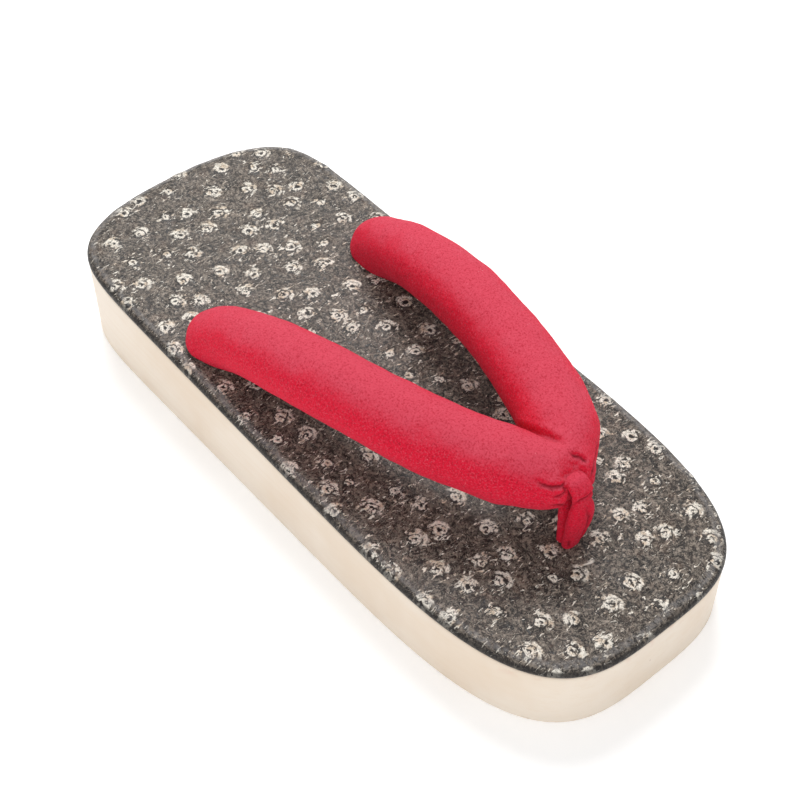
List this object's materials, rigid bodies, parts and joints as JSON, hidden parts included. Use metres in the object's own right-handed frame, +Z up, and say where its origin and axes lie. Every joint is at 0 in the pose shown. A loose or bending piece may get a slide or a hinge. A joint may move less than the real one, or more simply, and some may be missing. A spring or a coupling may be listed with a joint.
{
  "type": "geta sandal",
  "caption": "Wedge-soled geta sandal with a padded printed footbed cover, a V of padded red straps and a toe loop.",
  "frame": {"origin": "middle of the sole's plan outline, on the floor", "axes": "+X to the toe, +Y across the sole, +Z up from the floor"},
  "size_m": [0.25, 0.1024, 0.0649],
  "materials": {
    "sole_block": "smooth pale cream, faint grain",
    "footbed_cover": "dark, softly glossy, pale quill-mark print",
    "strap": "crimson velour over padding",
    "toe_loop": "crimson velour over padding"
  },
  "bodies": {
    "root": {"sole_block": "sole_block", "footbed_cover": "footbed_cover", "strap": "strap", "toe_loop": "toe_loop"}
  },
  "joints": []
}
